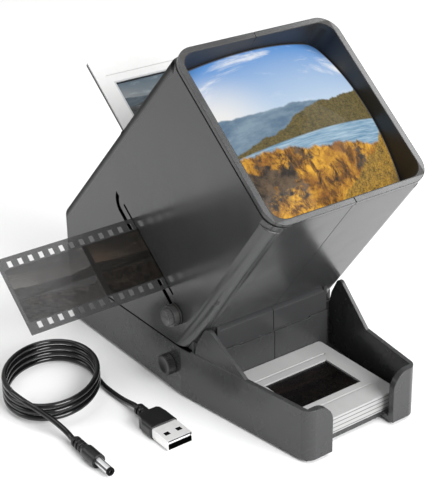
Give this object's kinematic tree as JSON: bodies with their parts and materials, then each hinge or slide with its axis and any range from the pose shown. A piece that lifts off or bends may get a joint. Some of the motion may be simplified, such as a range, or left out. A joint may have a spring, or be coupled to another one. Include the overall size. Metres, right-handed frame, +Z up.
{
  "type": "film negative scanner",
  "caption": "Desk viewer for film strips and mounted slides: tilted lens head over a base with slide tray, film slot, slide slot, lever, light knob and power cable.",
  "frame": {"origin": "on the desk under the middle of the base, on the plane the two halves share", "axes": "+Z up, -Y towards the slide tray and the person looking in, +X to the right seen from the tray"},
  "size_m": [0.1453, 0.1673, 0.1561],
  "materials": {
    "housing": "fine satin moulded grey",
    "black_trim": "black moulded",
    "lens": "clear polished",
    "opal": "translucent white",
    "board": "green circuit board",
    "rubber": "dull black",
    "steel": "plated",
    "mount": "white card-like plastic",
    "film": "dark film",
    "strip": "smoky see-through film",
    "cable": "black sheath",
    "blue_part": "component body"
  },
  "bodies": {
    "housing": {"head_left": "housing", "head_right": "housing", "lens": "lens", "lens_retainer": "black_trim", "gate_frame": "black_trim", "diffuser": "opal", "light_box": "opal", "led_board": "board", "dimmer": "blue_part", "base_left": "housing", "base_right": "housing", "control_board": "board", "power_jack": "black_trim", "housing_screws": "steel", "rubber_feet": "rubber", "cable_coil": "cable", "usb_lead": "cable", "dc_lead": "cable", "usb_plug_body": "cable", "usb_plug_shell": "steel", "dc_plug_body": "cable", "dc_plug_tip": "steel"},
    "lever": {"lever_shoe": "black_trim", "lever_knob": "housing"},
    "light_knob": {"light_knob": "housing"},
    "film": {"film_strip": "strip"},
    "viewed_slide": {"viewed_mount": "mount", "viewed_film": "film"},
    "tray_slide_1": {"tray_mount_1": "mount", "tray_film_1": "film"},
    "tray_slide_2": {"tray_mount_2": "mount", "tray_film_2": "film"},
    "tray_slide_3": {"tray_mount_3": "mount", "tray_film_3": "film"},
    "tray_slide_4": {"tray_mount_4": "mount", "tray_film_4": "film"}
  },
  "joints": [
    {"name": "lever_slide", "type": "slide", "parent": "housing", "child": "lever", "axis": [0, 0.776, 0.6307], "range_m": [0, 0.047]},
    {"name": "light_knob_turn", "type": "hinge", "parent": "housing", "child": "light_knob", "pos_m": [-0.0395, 0.012, 0.0133], "axis": [-1, 0, 0], "range_deg": [0, 270]},
    {"name": "film_feed", "type": "slide", "parent": "housing", "child": "film", "axis": [-1, 0, 0], "range_m": [-0.038, 0.142]},
    {"name": "slide_feed", "type": "slide", "parent": "housing", "child": "viewed_slide", "axis": [0, -0.776, -0.6307], "range_m": [0, 0.105]},
    {"name": "tray_slide_1_lift", "type": "slide", "parent": "housing", "child": "tray_slide_1", "axis": [0, 0, 1], "range_m": [0, 0.0015]},
    {"name": "tray_slide_2_lift", "type": "slide", "parent": "tray_slide_1", "child": "tray_slide_2", "axis": [0, 0, 1], "range_m": [0, 0.0015]},
    {"name": "tray_slide_3_lift", "type": "slide", "parent": "tray_slide_2", "child": "tray_slide_3", "axis": [0, 0, 1], "range_m": [0, 0.0015]},
    {"name": "tray_slide_4_lift", "type": "slide", "parent": "tray_slide_3", "child": "tray_slide_4", "axis": [0, 0, 1], "range_m": [0, 0.008]}
  ]
}
